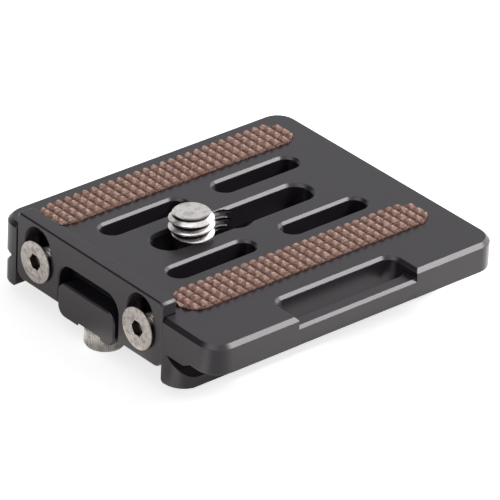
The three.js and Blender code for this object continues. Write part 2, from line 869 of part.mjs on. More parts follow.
const captive = new THREE.Group();
captive.add(piece("camera_screw", cameraScrew(), brightSteel));
captive.add(piece("camera_screw_washer", cameraScrewWasher(), paleNylon));
captive.position.set(cameraScrewPlace, 0, 0);
plate.add(captive);

// The part stands on the stop screws' heads, with its origin below the middle of its outer box.
const lowestPoint = bossBottom - stopScrewLandDepth + stopScrewHeadHeight;
plate.position.set((lipScrewHeadProud - plateLength) / 2, -plateMiddleY, lowestPoint);

const part = new THREE.Group();
part.add(plate);

export default part;
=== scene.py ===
"""The looks of a quick-release plate for a tripod head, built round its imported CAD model.

Lengths are in metres, in the CAD model's own frame: +X runs along the dovetail away from the lip,
+Y across it away from the strap bar, and +Z up through the camera screw.
"""

import math
from contextlib import contextmanager

import bmesh
import bpy
from bpy.props import FloatProperty, FloatVectorProperty, IntProperty, PointerProperty
from mathutils import Matrix, Vector


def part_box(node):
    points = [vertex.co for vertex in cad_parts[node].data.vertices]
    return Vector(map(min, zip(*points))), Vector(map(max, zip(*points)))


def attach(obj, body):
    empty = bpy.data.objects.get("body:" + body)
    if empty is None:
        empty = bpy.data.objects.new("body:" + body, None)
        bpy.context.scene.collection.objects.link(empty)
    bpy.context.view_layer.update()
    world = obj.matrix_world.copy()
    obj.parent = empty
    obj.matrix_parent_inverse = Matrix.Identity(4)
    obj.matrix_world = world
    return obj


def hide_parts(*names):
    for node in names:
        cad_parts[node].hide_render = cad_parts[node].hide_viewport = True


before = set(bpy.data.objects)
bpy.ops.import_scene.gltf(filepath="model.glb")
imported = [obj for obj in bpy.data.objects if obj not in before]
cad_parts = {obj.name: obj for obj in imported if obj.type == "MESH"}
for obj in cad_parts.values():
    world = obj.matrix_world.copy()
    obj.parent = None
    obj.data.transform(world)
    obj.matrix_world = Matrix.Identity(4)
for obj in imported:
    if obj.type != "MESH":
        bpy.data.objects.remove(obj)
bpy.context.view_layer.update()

bl_info = {
    "name": "Quick-Release Plate",
    "version": (1, 0, 0),
    "blender": (4, 5, 0),
    "location": "3D View > Sidebar > Quick Plate",
    "description": "Finishes the pieces of a camera's quick-release plate and lights it in a small studio",
    "category": "Object",
}

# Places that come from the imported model
PLATE_LOW, PLATE_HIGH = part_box("plate_body")
SCREW_LOW, SCREW_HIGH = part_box("camera_screw")
PAD_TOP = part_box("grip_pad_near")[1].z
TOP_FACE = PLATE_HIGH.z
STOP_SCREW_PLACE = sum(corner.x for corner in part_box("stop_screw_lip_end")) / 2

# Merging of the CAD model's loose triangles, and of the meshes that are made here
MERGE_DISTANCE = 0.000002
FLAT_ANGLE = math.radians(0.4)
SHARP_ANGLE = math.radians(20)

# What the plate thread's crests carry in the edge attribute, where an edge carries one: they are painted
# as bare metal, paler also as a painted reflection
THREAD_RUB_AND_SHEEN = 2

# Turned pieces: steps round a large one, the breaks of a clamp screw's rim and of the other heads' upper
# edges, how far a thread starts inside its head, and the share of its height that rounds a crest
LARGE_STEPS = 96
RIM_BREAK = 0.00008
HEAD_TOP_BREAK = 0.00015
THREAD_OVERLAP = 0.0001
CREST_ROUNDING = 0.25

# Knurled ridges: their sides, the share of their height sunk in the head, where they start over the head's
# rounded edge, and how far the grooves and the ridges end below the head's top
RIDGE_SIDES = 8
RIDGE_SINK = 0.2
KNURL_START = 1.2
GROOVE_END = 0.0002
RIDGE_END = 0.00018

# Camera screw: the gap between plate and thread, the neck's reach into the thread, and its fillet
THREAD_GAP = 0.00005
NECK_OVERLAP = 0.0002
NECK_FILLET = 0.0001

# The Z of its normal below which a pad's face is part of its flat bottom
DOWNWARD = -0.9

WHITE = (1, 1, 1)
ANODISED_SHEEN = (1, 0.965, 0.99, 1)
NODE_SPACING = 180

# The camera's sensor in millimetres, and its nearest and farthest distance
SENSOR_WIDTH = 36
CAMERA_RANGE = (0.01, 20)


def length(name, description, default, low=0.0):
    """A length in metres."""
    return FloatProperty(name=name, description=description, default=default, min=low, unit="LENGTH")


def amount(name, description, default, high=10.0):
    """A strength or share."""
    return FloatProperty(name=name, description=description, default=default, min=0, max=high)


def shine(name, place, default):
    """How bright a part of the room is in shiny surfaces, where white is one."""
    return amount(name, f"Brightness of {place} in shiny surfaces", default)


def number(name, description, default, low, high):
    """A whole number."""
    return IntProperty(name=name, description=description, default=default, min=low, max=high)


def colour(name, place, default):
    """The colour of something."""
    return FloatVectorProperty(
        name=name, description=f"Colour of {place}", default=default, min=0, max=1, size=3, subtype="COLOR"
    )


def direction(name, description, default, subtype="DIRECTION"):
    """A direction or a place."""
    return FloatVectorProperty(name=name, description=description, default=default, size=3, subtype=subtype)


class EdgeSizes(bpy.types.PropertyGroup):
    """Edges of the machined pieces"""

    bevel: length("Edge rounding", "Width of the tumbled rounding on the edges", 0.00007)
    hole_place: length("Threaded hole", "Place of the threaded hole's axis from the lip's end", 0.02465)
    hole_reach: length("Hole reach", "Distance from that axis within which edges stay crisp", 0.0038)
    # Within this reach the thread's crests get bare metal and a painted sheen
    crest_reach: length("Crest reach", "Distance from it within which the thread is rubbed", 0.00275)


class PadSizes(bpy.types.PropertyGroup):
    """Moulded pattern of the grip pads"""

    pitch: length("Pitch", "Distance between two pyramids, along and across", 0.0015, 0.0001)
    depth: length("Depth", "Height of a pyramid's tip above the valley beside it", 0.0005, 0.00001)
    rounding: amount("Rounding", "Share of a pyramid's half width that is rounded", 0.06, 1)
    cells: number("Cells", "Mesh cells along one side of a pyramid", 8, 2, 12)


class SmallThread(bpy.types.PropertyGroup):
    """M3 thread of the clamp screws and the stop screws"""

    pitch: length("Pitch", "Pitch of the thread", 0.0005, 0.0001)
    depth: length("Depth", "Height of the thread between root and crest", 0.00027)
    radius: length("Radius", "Outer radius of the thread", 0.0015, 0.0001)
    tip: length("Tip chamfer", "Width of the chamfer at the thread's end", 0.0003)


class LipScrewSizes(bpy.types.PropertyGroup):
    """Flat-head screws that clamp the lip"""

    head_radius: length("Head radius", "Radius of the flat head", 0.003)
    head_rim: length("Head rim", "Height of the upright rim of the head", 0.0002)
    head_taper: length("Head taper", "Height of the cone under the head", 0.0015)
    head_break: length("Head edge", "Rounding of the face's edge", 0.00012)
    socket: length("Socket", "Width of the hexagonal socket across its flats", 0.002)
    socket_depth: length("Socket depth", "Depth of the hexagonal socket", 0.0011)


class StopScrewSizes(bpy.types.PropertyGroup):
    """Cylinder-head screws that stop the plate at its ends"""

    head_height: length("Head height", "Height of the cylindrical head", 0.0028)
    head_break: length("Head edge", "Rounding of the head's lower edge", 0.0003)
    socket: length("Socket", "Width of the hexagonal socket across its flats", 0.0025)
    socket_depth: length("Socket depth", "Depth of the hexagonal socket", 0.0015)
    knurl_height: length("Knurl height", "How far a ridge stands out of the head", 0.00008)
    knurl_count: number("Knurl ridges", "Number of ridges round the head", 60, 6, 200)


class CameraScrewSizes(bpy.types.PropertyGroup):
    """Captive camera screw, quarter inch with twenty threads to the inch"""

    pitch: length("Pitch", "Pitch of the thread", 0.00127, 0.0001)
    depth: length("Depth", "Height of the thread between root and crest", 0.00062)
    radius: length("Radius", "Outer radius of the thread", 0.003175, 0.0001)
    first_ridge: length("First ridge", "Height of the first ridge's start over the plate", 0.00035)
    top_radius: length("Top radius", "Radius of the screw's flat top", 0.0025)
    neck_radius: length("Neck radius", "Radius of the plain neck in the slot", 0.0021)
    head_height: length("Head height", "Height of the head under the plate", 0.0031)
    head_break: length("Head edge", "Rounding of the head's lower edge", 0.00035)
    socket: length("Socket", "Width of the hexagonal socket across its flats", 0.004)
    socket_depth: length("Socket depth", "Depth of the hexagonal socket", 0.0024)


class WasherSizes(bpy.types.PropertyGroup):
    """Washer under the camera screw's head"""

    bore: length("Bore radius", "Radius of the washer's hole", 0.0033)
    edge: length("Edge rounding", "Rounding of the washer's edges", 0.0001)


class Finishes(bpy.types.PropertyGroup):
    """Colours of the finishes"""

    anodised: colour("Anodised black", "the plate and the lip", (0.0118, 0.0098, 0.0132))
    anodised_worn: colour("Worn edge", "the rubbed edges of both", (0.09, 0.088, 0.09))
    # Bare rubbed metal on the thread's crests, made paler also as a painted reflection
    bare_metal_and_sheen: colour("Bare metal", "the rubbed crests in the threaded hole", (0.42, 0.4, 0.37))
    rubber: colour("Rubber", "the grip pads", (0.35, 0.185, 0.14))
    # Pale tips: partly wear, partly a painted highlight; the rubber's pale dust specks borrow it
    rubber_tip: colour("Rubber tips", "the pyramids' rubbed tips", (0.74, 0.58, 0.52))
    # Painted shade laid in the pads' valleys between the pyramids; the rubber's dark pits borrow it
    rubber_valley: colour("Rubber valleys", "the pads between the pyramids", (0.045, 0.016, 0.011))
    stainless: colour("Stainless steel", "the clamp screws", (0.52, 0.475, 0.45))
    knurled: colour("Knurled steel", "the stop screws' heads", (0.44, 0.425, 0.41))
    # Painted shade, tinted brown, in the small screws' sockets and thread roots
    brown_recess_shade: colour("Stained recess", "the small screws' sockets", (0.1, 0.075, 0.065))
    bright_steel: colour("Bright steel", "the camera screw", (0.8, 0.76, 0.76))
    # Painted shade in the camera screw's socket and thread roots
    steel_recess: colour("Steel recess", "oiled steel in its socket and grooves", (0.02, 0.018, 0.017))
    nylon: colour("Nylon", "the camera screw's washer", (0.62, 0.6, 0.53))


class StudioSettings(bpy.types.PropertyGroup):
    """Floor, light and camera"""

    camera_place: direction("Camera place", "Its place", (-0.39542, -0.44559, 0.34817), "TRANSLATION")
    camera_right: direction("Camera right", "To the picture's right", (0.76174, -0.64668, 0.03966))
    camera_up: direction("Camera up", "To the picture's top", (0.29518, 0.40089, 0.86728))
    camera_lens: amount("Lens", "Focal length in millimetres", 369.54, 1000)
    softbox_direction: direction("Softbox direction", "From the plate to the softbox", (0.577, -0.496, 0.649))
    softbox_distance: length("Softbox distance", "Distance from the plate to the softbox", 0.9, 0.1)
    softbox_size: length("Softbox size", "Diameter of the round softbox", 0.5, 0.01)
    softbox_power: amount("Softbox power", "Power of the softbox in watts", 7.2, 1000)
    softbox_colour: colour("Softbox colour", "the softbox's light", (0.99, 1, 0.98))
    room_light: amount("Room light", "Strength of the room's even light on matt surfaces", 0.42)
    room_reflection: shine("Room reflection", "the walls", 0.82)
    ceiling_reflection: shine("Ceiling reflection", "the ceiling", 1.3)
    panel_direction: direction("Panel direction", "To the ceiling's panel", (0.577, -0.105, 0.81))
    panel_reflection: shine("Panel reflection", "the ceiling's panel", 1.8)
    side_direction: direction("Side direction", "To the panel by the lip", (-0.62, -0.15, 0.77))
    side_reflection: shine("Side reflection", "the panel by the lip", 2.6)
    window_direction: direction("Window direction", "To the window", (0.93, -0.05, 0.36))
    window_reflection: shine("Window reflection", "the window", 3.2)
    dark_direction: direction("Dark direction", "To the room's dark patch", (-0.496, 0.649, 0.577))
    dark_reflection: shine("Dark reflection", "the room's dark patch", 0.12)
    background: amount("Background", "Brightness of the background, where white is one", 1)
    floor_size: length("Floor size", "Length of the floor's sides", 4, 0.1)
    floor_shade: amount("Floor shade", "How pale the floor is, where white is one", 0.86, 1)
    floor_warmth: colour("Floor warmth", "the floor in shiny surfaces", (1, 0.965, 0.9))
    floor_glow: amount("Floor glow", "Light added to the floor where the camera sees it", 0.72)


class QuickPlateSettings(bpy.types.PropertyGroup):
    """Sizes and colours of the quick-release plate"""

    edges: PointerProperty(type=EdgeSizes)
    pad: PointerProperty(type=PadSizes)
    small_thread: PointerProperty(type=SmallThread)
    lip_screw: PointerProperty(type=LipScrewSizes)
    stop_screw: PointerProperty(type=StopScrewSizes)
    camera_screw: PointerProperty(type=CameraScrewSizes)
    washer: PointerProperty(type=WasherSizes)
    finish: PointerProperty(type=Finishes)
    studio: PointerProperty(type=StudioSettings)


# Node trees

class Value:
    """One output in a node tree. Arithmetic on it adds the nodes that do the sum."""

    def __init__(self, maker, socket):
        self.maker = maker
        self.socket = socket

    def __add__(self, other):
        return self.maker.math("ADD", self, other)

    def __sub__(self, other):
        return self.maker.math("SUBTRACT", self, other)

    def __rsub__(self, other):
        return self.maker.math("SUBTRACT", other, self)

    def __mul__(self, other):
        return self.maker.math("MULTIPLY", self, other)

    def __truediv__(self, other):
        return self.maker.math("DIVIDE", self, other)

    def __rtruediv__(self, other):
        return self.maker.math("DIVIDE", other, self)

    def __abs__(self):
        return self.maker.math("ABSOLUTE", self)

    def between(self, start, end):
        """Zero at the start, one at the end, even between them and level beyond them."""
        return self.maker.get("ShaderNodeMapRange", {"Value": self, "From Min": start, "From Max": end})


class TreeMaker:
    """Fills an emptied node tree from left to right, and links the nodes as it goes."""

    def __init__(self, tree):
        self.tree = tree
        self.tree.nodes.clear()

    def add(self, kind, inputs=None, **settings):
        """A new node with its settings and its inputs, each a number, a colour or a Value."""
        node = self.tree.nodes.new(kind)
        node.location = (len(self.tree.nodes) * NODE_SPACING, 0)
        for name, value in settings.items():
            setattr(node, name, value)
        for name, value in (inputs or {}).items():
            self.feed(node.inputs[name], value)
        return node

    def feed(self, socket, value):
        if isinstance(value, Value):
            self.tree.links.new(value.socket, socket)
        else:
            socket.default_value = value

    def get(self, kind, inputs=None, out=0, **settings):
        """One output of a new node."""
        return Value(self, self.add(kind, inputs, **settings).outputs[out])

    def outputs(self, kind, inputs=None, **settings):
        """All outputs of a new node, by name."""
        node = self.add(kind, inputs, **settings)
        return {socket.name: Value(self, socket) for socket in node.outputs}

    def math(self, operation, first, second=0, third=0):
        return self.get("ShaderNodeMath", {0: first, 1: second, 2: third}, operation=operation)

    def vector(self, x, y, z):
        return self.get("ShaderNodeCombineXYZ", {"X": x, "Y": y, "Z": z})

    def split(self, vector):
        """The X, Y and Z of a vector."""
        return self.outputs("ShaderNodeSeparateXYZ", {0: vector})

    def position(self):
        """The X, Y and Z of each point of the geometry."""
        return self.split(self.get("GeometryNodeInputPosition"))

    def mix_colour(self, factor, first, second, blend_type="MIX"):
        inputs = {0: factor, 6: first, 7: second}
        return self.get("ShaderNodeMix", inputs, 2, data_type="RGBA", blend_type=blend_type)

    def mix_value(self, factor, first, second):
        return self.get("ShaderNodeMix", {0: factor, 2: first, 3: second}, data_type="FLOAT")


def new_socket(tree, name, direction, kind, default=None, low=None):
    socket = tree.interface.new_socket(name=name, in_out=direction, socket_type="NodeSocket" + kind)
    if default is not None:
        socket.default_value = default
    if low is not None:
        socket.min_value = low


def new_geometry_tree(kind, values):
    """A Geometry Nodes tree with an input for each value, ended in real geometry with its finish."""
    tree = bpy.data.node_groups.new(kind, "GeometryNodeTree")
    new_socket(tree, "Geometry", "INPUT", "Geometry")
    for name, value in values.items():
        kind_and_default = ("Int", 8, 1) if isinstance(value, int) else ("Float", 0.001)
        new_socket(tree, name, "INPUT", *kind_and_default)
    new_socket(tree, "Finish", "INPUT", "Material")
    new_socket(tree, "Geometry", "OUTPUT", "Geometry")
    maker = TreeMaker(tree)
    given = maker.outputs("NodeGroupInput")
    real = maker.get("GeometryNodeRealizeInstances", {"Geometry": GEOMETRY_TREES[kind](maker, given)})
    painted = maker.get("GeometryNodeSetMaterial", {"Geometry": real, "Material": given["Finish"]})
    maker.add("NodeGroupOutput", {"Geometry": painted})
    return tree


def new_object(name, data):
    """An untransformed object in the scene."""
    thing = bpy.data.objects.new(name, data)
    bpy.context.scene.collection.objects.link(thing)
    return thing


def shown_mesh(carrier, name):
    """The mesh that an object shows under its modifier. The object goes."""
    shown = carrier.evaluated_get(bpy.context.evaluated_depsgraph_get())
    mesh = bpy.data.meshes.new_from_object(shown)
    bpy.data.objects.remove(carrier)
    mesh.name = name
    return mesh


def run_geometry_tree(kind, name, values):
    """The plain mesh that a tree makes from sizes, which are floats, and counts, which are integers."""
    tree = bpy.data.node_groups.get(kind) or new_geometry_tree(kind, values)
    carrier = new_object(name, bpy.data.meshes.new(name))
    modifier = carrier.modifiers.new("shape", "NODES")
    modifier.node_group = tree
    for item in tree.interface.items_tree:
        if item.item_type == "SOCKET" and item.in_out == "INPUT" and item.name in values:
            modifier[item.identifier] = values[item.name]
    mesh = shown_mesh(carrier, name)
    if not mesh.vertices:
        raise RuntimeError(f"the tree {tree.name} made no mesh for {name}")
    return mesh


def pyramid_nodes(maker, given):
    """A slab with a field of rounded pyramids on top, cut to a slot's outline."""
    pitch, bottom, top, rounding = (given[name] for name in ("Pitch", "Bottom", "Top", "Rounding"))

    def field(length, middle, tip):
        """Whole pyramids, from valley to valley, that cover a length: span, vertices and middle."""
        before = maker.math("CEIL", (tip - (middle - length / 2)) / pitch) + 0.5
        start = tip - before * pitch
        pyramids = maker.math("CEIL", (middle + length / 2 - start) / pitch + 0.25)
        span = pyramids * pitch
        return span, pyramids * given["Cells"] + 1, start + span / 2

    span_x, vertices_x, centre_x = field(given["Length"], given["Middle X"], given["Tip X"])
    span_y, vertices_y, centre_y = field(given["Width"], given["Middle Y"], given["Tip Y"])
    height = top - bottom
    slab = {"Size": maker.vector(span_x, span_y, height), "Vertices X": vertices_x, "Vertices Y": vertices_y}
    slab = maker.get("GeometryNodeMeshCube", slab, "Mesh")
    place = maker.position()
    x = place["X"] + centre_x
    y = place["Y"] + centre_y

    def from_tip(along, tip):
        """Zero at a pyramid's tip and one at the valley beside it."""
        return abs(maker.math("FRACT", (along - tip) / pitch + 0.5) - 0.5) * 2

    away = maker.math("SMOOTH_MAX", from_tip(x, given["Tip X"]), from_tip(y, given["Tip Y"]), rounding)
    away = maker.math("SMOOTH_MAX", away, 0, rounding)
    surface = maker.mix_value(away, top, top - given["Depth"])
    level = maker.mix_value(maker.math("GREATER_THAN", place["Z"], 0), bottom, surface)
    shaped = maker.get("GeometryNodeSetPosition", {"Geometry": slab, "Position": maker.vector(x, y, level)})
    radius = given["Width"] / 2
    disc = {"Vertices": given["Outline Steps"], "Radius": radius, "Depth": height * 4}  # cuts through
    disc = maker.get("GeometryNodeMeshCylinder", disc, "Mesh")
    half_step = maker.vector(0, 0, math.pi / given["Outline Steps"])
    turned = maker.get("GeometryNodeTransform", {"Geometry": disc, "Rotation": half_step})
    side = maker.math("SIGN", maker.position()["X"])
    reach = side * (given["Length"] / 2 - radius)
    offset = maker.vector(reach + given["Middle X"], given["Middle Y"], bottom)
    outline = maker.get("GeometryNodeSetPosition", {"Geometry": turned, "Offset": offset})
    cut = maker.add("GeometryNodeMeshBoolean", operation="INTERSECT", solver="EXACT")
    for part in (outline, shaped):
        maker.feed(cut.inputs["Mesh 2"], part)
    return Value(maker, cut.outputs["Mesh"])


def thread_nodes(maker, given):
    """A threaded rod on the Z axis, closed at both ends, with a cone at each end of the thread."""
    crest, bottom, top = given["Crest Radius"], given["Bottom"], given["Top"]
    rows = given["Steps Along"] + 3  # the first and the last row close the rod on its axis
    grid = {"Size X": 1, "Size Y": 1, "Vertices X": given["Steps Around"] + 1, "Vertices Y": rows}
    place = maker.position()
    turn = place["X"] + 0.5
    row = maker.math("ROUND", (place["Y"] + 0.5) * (rows - 1))
    share = maker.get("ShaderNodeClamp", {"Value": (row - 1) / given["Steps Along"]})
    level = maker.mix_value(share, bottom, top)
    ridge = (level - given["Level"]) / given["Pitch"]
    phase = maker.math("FRACT", ridge - turn + 0.5) - 0.5
    flank = 1 - (abs(phase) - given["Crest Share"] / 2) / given["Flank Share"]
    rise = maker.get("ShaderNodeClamp", {"Value": maker.math("SMOOTH_MIN", flank, 1, CREST_ROUNDING)})
    body = maker.mix_value(rise, given["Root Radius"], crest)
    top_cone = crest - given["Top Cone"] + (top - level)
    bottom_cone = crest - given["Bottom Cone"] + (level - bottom)
    inside = maker.math("GREATER_THAN", row, 0.5) * maker.math("LESS_THAN", row, rows - 1.5)
    radius = maker.math("MINIMUM", body, maker.math("MINIMUM", top_cone, bottom_cone)) * inside
    angle = turn * (2 * math.pi)
    spot = maker.vector(radius * maker.math("COSINE", angle), radius * maker.math("SINE", angle), level)
    sheet = maker.get("GeometryNodeMeshGrid", grid, "Mesh")
    # The groove's share, kept for painted shade in the thread's roots
    groove = {"Geometry": sheet, "Name": "recess", "Value": (1 - rise) * inside}
    marked = maker.get("GeometryNodeStoreNamedAttribute", groove, data_type="FLOAT", domain="POINT")
    rolled = maker.get("GeometryNodeSetPosition", {"Geometry": marked, "Position": spot})
    return maker.get("GeometryNodeMergeByDistance", {"Geometry": rolled, "Distance": MERGE_DISTANCE})


def knurl_nodes(maker, given):
    """Small upright ridges in a ring on the Z axis."""
    bottom, top = given["Bottom"], given["Top"]
    ring = maker.get("GeometryNodeMeshCircle", {"Vertices": given["Ridges"], "Radius": given["Radius"]})
    ridge = {"Vertices": RIDGE_SIDES, "Radius": given["Ridge Radius"], "Depth": top - bottom}
    ridge = maker.get("GeometryNodeMeshCylinder", ridge)
    ridges = maker.get("GeometryNodeInstanceOnPoints", {"Points": ring, "Instance": ridge})
    middle = maker.vector(0, 0, (top + bottom) / 2)
    return maker.get("GeometryNodeTransform", {"Geometry": ridges, "Translation": middle})


GEOMETRY_TREES = {"pyramid_field": pyramid_nodes, "threaded_rod": thread_nodes, "knurled_band": knurl_nodes}


# Shader groups

def noise(maker, vector, scale, detail, roughness=0.55):
    inputs = {"Vector": vector, "Scale": scale, "Detail": detail, "Roughness": roughness}
    return maker.get("ShaderNodeTexNoise", inputs)


def grain_nodes(maker, given):
    """Fine blasted grain, broad clouds and rare flecks, all from zero to one."""
    grain = noise(maker, given["Vector"], 1 / given["Grain Size"], detail=2)
    cloud = noise(maker, given["Vector"], 1 / given["Cloud Size"], detail=4, roughness=0.6)
    flecks = noise(maker, given["Vector"], 1 / given["Fleck Size"], detail=1)
    return {"Grain": grain, "Cloud": cloud, "Fleck": flecks.between(start=0.62, end=0.75)}


def wear_nodes(maker, given):
    """Where an edge is rubbed: the rounded edges, broken up by noise."""
    rubs = noise(maker, given["Vector"], 1 / given["Break-up Size"], detail=4, roughness=0.7)
    patches = rubs.between(start=0.35, end=0.7)
    return {"Mask": patches * given["Edge"] * given["Amount"]}


def turned_nodes(maker, given):
    """Fine rings that a lathe leaves, along the second axis of a turned piece's map."""
    along = maker.split(given["Vector"])
    stretched = maker.vector(along["X"] * RING_DRIFT, along["Y"], 0)
    fine = noise(maker, stretched, 1 / given["Ring Width"], detail=3, roughness=0.6)
    broad = noise(maker, stretched, BAND_SCALE / given["Ring Width"], detail=2)
    return {"Height": fine, "Shade": broad}


# How each shared group is filled, and the defaults of its inputs besides the vector
SHADER_GROUPS = {
    "fine_grain": (grain_nodes, {"Grain Size": 0.0001, "Cloud Size": 0.008, "Fleck Size": 0.0004}),
    "edge_wear": (wear_nodes, {"Edge": 0, "Break-up Size": 0.002, "Amount": 0.5}),
    "turned_rings": (turned_nodes, {"Ring Width": 0.00006}),
}


def new_shader_group(name):
    """A shader node group that puts out masks and values."""
    fill, inputs = SHADER_GROUPS[name]
    group = bpy.data.node_groups.new(name, "ShaderNodeTree")
    new_socket(group, "Vector", "INPUT", "Vector")
    for title, default in inputs.items():
        new_socket(group, title, "INPUT", "Float", default)
    maker = TreeMaker(group)
    results = fill(maker, maker.outputs("NodeGroupInput"))
    for title in results:
        new_socket(group, title, "OUTPUT", "Float")
    maker.add("NodeGroupOutput", results)
    return group


def place_group(maker, name, vector, values):
    """The outputs of a shared shader group, which is built at its first use."""
    group = bpy.data.node_groups.get(name) or new_shader_group(name)
    return maker.outputs("ShaderNodeGroup", {"Vector": vector, **values}, node_tree=group)


def place_grain(maker, place, grain, cloud, fleck=0.0004):
    """The shared grain, with the sizes of its grain, clouds and flecks."""
    sizes = {"Grain Size": grain, "Cloud Size": cloud, "Fleck Size": fleck}
    return place_group(maker, "fine_grain", place, sizes)


# Finishes

# Roughness of each finish, at its smoothest and at its roughest
ROUGHNESS = {
    "anodised_black": (0.27, 0.34),
    "grip_rubber_brown": (0.42, 0.6),
    "natural_nylon": (0.38, 0.5),
    "stainless_dull": (0.28, 0.44),
    "stainless_knurled": (0.2, 0.36),
    "bright_turned_steel": (0.16, 0.3),
}
# How much smoother a rubbed edge of the anodised pieces is
WORN_POLISH = 0.08
# Rubber: shares of a pyramid's height where the valleys' painted shade ends and the tips' wear and painted
# highlight start, and how strong the clouds are
VALLEY_SHADE_SHARE = 0.45
TIP_WEAR_AND_HIGHLIGHT_START = 0.6
CLOUD_SHARE = 0.8
# Steel: share of the bright flecks among all flecks, and height of the grain against the lathe's rings
BRIGHT_FLECKS = 0.35
GRAIN_ON_RINGS = 0.6
# How much the lathe's rings change in one turn, and the scale of their broad bands against the fine rings
RING_DRIFT = 0.002
BAND_SCALE = 0.2


def tree_of(owner):
    """The maker for a material's or a world's own nodes."""
    owner.use_nodes = True
    return TreeMaker(owner.node_tree)


def new_finish(name):
    """An empty material, its maker and its Object coordinates."""
    material = bpy.data.materials.new(name)
    maker = tree_of(material)
    return material, maker, maker.get("ShaderNodeTexCoord", out="Object")


def end_finish(maker, colour, roughness, normal, others):
    """Ends a material in a Principled shader with these inputs, and with others by name."""
    inputs = {"Base Color": colour, "Roughness": roughness, "Normal": normal, **others}
    maker.add("ShaderNodeOutputMaterial", {"Surface": maker.get("ShaderNodeBsdfPrincipled", inputs)})


def shade(colour, factor=1):
    """An opaque colour, made lighter or darker by a factor."""
    return (*[min(1, channel * factor) for channel in colour], 1)


def varied(maker, mask, tone, dark, pale):
    """A tone that goes from its darker to its paler shade with a mask."""
    return maker.mix_colour(mask, shade(tone, dark), shade(tone, pale))


def flecked(maker, colour, mask, tone, share, factor):
    """A colour with a shade of a tone over it, where a mask says, up to a share."""
    return maker.mix_colour(mask * share, colour, shade(tone, factor))


def bump(maker, height, distance, strength):
    return maker.get("ShaderNodeBump", {"Height": height, "Distance": distance, "Strength": strength})


def anodised_finish(name, settings):
    """Bead-blasted aluminium, anodised black and rubbed at its edges.

    Its thread's crests are bare metal, made paler also as a painted reflection.
    """
    finish = settings.finish
    material, maker, place = new_finish(name)
    grain = place_grain(maker, place, grain=0.00009, cloud=0.009, fleck=0.0003)
    edge = maker.get("ShaderNodeAttribute", out="Fac", attribute_name="edge")
    worn = place_group(maker, "edge_wear", place, {"Edge": edge, "Amount": 0.4})["Mask"]
    colour = varied(maker, grain["Cloud"], finish.anodised, dark=0.8, pale=1.25)
    colour = flecked(maker, colour, grain["Grain"], finish.anodised, share=0.35, factor=2.2)
    colour = maker.mix_colour(worn, colour, shade(finish.anodised_worn))
    # Bare metal and a painted sheen on the thread's crests
    colour = maker.mix_colour(edge.between(1, THREAD_RUB_AND_SHEEN), colour, shade(finish.bare_metal_and_sheen))
    rough = maker.mix_value(grain["Cloud"], *ROUGHNESS[name]) - worn * WORN_POLISH
    normal = bump(maker, grain["Grain"], distance=0.000004, strength=0.5)
    end_finish(maker, colour, rough, normal, {"IOR": 1.5, "Specular Tint": ANODISED_SHEEN})
    return material


def rubber_finish(name, settings):
    """Moulded brown rubber, paler at the tips from wear and a painted highlight, darkened in the valleys with
    painted shade.
    """
    finish = settings.finish
    material, maker, place = new_finish(name)
    grain = place_grain(maker, place, grain=0.0003, cloud=0.003, fleck=0.00035)
    level = maker.split(place)["Z"]
    depth = settings.pad.depth
    valley = PAD_TOP - depth
    # Painted shade darkens the valleys, up to this height
    high = level.between(valley, valley + depth * VALLEY_SHADE_SHARE)
    # Wear and a painted highlight lighten the tips, from this height up
    rubbed = level.between(valley + depth * TIP_WEAR_AND_HIGHLIGHT_START, PAD_TOP)
    colour = maker.mix_colour(high, shade(finish.rubber_valley), shade(finish.rubber))
    colour = maker.mix_colour(rubbed, colour, shade(finish.rubber_tip))
    clouds = varied(maker, grain["Cloud"], WHITE, dark=0.8, pale=1)
    colour = maker.mix_colour(CLOUD_SHARE, colour, clouds, "MULTIPLY")
    dust = grain["Grain"].between(start=0.5, end=0.36)
    colour = flecked(maker, colour, dust, finish.rubber_tip, share=0.22, factor=0.8)
    pits = grain["Grain"].between(start=0.5, end=0.64)
    colour = flecked(maker, colour, pits, finish.rubber_valley, share=0.55, factor=1.3)
    rough = maker.mix_value(grain["Grain"], *ROUGHNESS[name])
    normal = bump(maker, grain["Grain"], distance=0.00003, strength=0.7)
    end_finish(maker, colour, rough, normal, {"Specular IOR Level": 0.3})
    return material


# Looks of the steels: colour, colour of the painted shade in recesses, ring height, fleck share, spot size
STEELS = {
    "stainless_dull": ("stainless", "brown_recess_shade", 0.000009, 0.75, 0.0007),
    "stainless_knurled": ("knurled", "brown_recess_shade", 0.000006, 0.5, 0.0008),
    "bright_turned_steel": ("bright_steel", "steel_recess", 0.000006, 0.45, 0.0012),
}


def steel_finish(name, settings):
    """Turned steel with the lathe's rings and small flecks, and painted shade in its sockets and grooves."""
    tone_name, recess_name, ring_height, fleck, spot_size = STEELS[name]
    tone = getattr(settings.finish, tone_name)
    material, maker, place = new_finish(name)
    turned = maker.get("ShaderNodeUVMap", uv_map="turned")
    rings = place_group(maker, "turned_rings", turned, {"Ring Width": 0.00007})
    grain = place_grain(maker, place, grain=0.00016, cloud=spot_size, fleck=0.00026)
    colour = varied(maker, rings["Shade"], tone, dark=0.86, pale=1.08)
    spots = grain["Cloud"].between(start=0.48, end=0.6)
    colour = flecked(maker, colour, spots, tone, fleck, factor=0.3)
    colour = flecked(maker, colour, grain["Grain"], tone, fleck, factor=0.7)
    colour = flecked(maker, colour, grain["Fleck"], tone, fleck * BRIGHT_FLECKS, factor=1.7)
    recess = maker.get("ShaderNodeAttribute", out="Fac", attribute_name="recess")
    # Painted shade in the deep socket walls and thread roots
    deep = recess.between(start=0.72, end=0.98)
    colour = maker.mix_colour(deep, colour, shade(getattr(settings.finish, recess_name)))
    rough = maker.mix_value(grain["Grain"], *ROUGHNESS[name])
    height = rings["Height"] + grain["Grain"] * GRAIN_ON_RINGS
    normal = bump(maker, height, distance=ring_height, strength=0.5)
    end_finish(maker, colour, rough, normal, {"Metallic": 1})
    return material


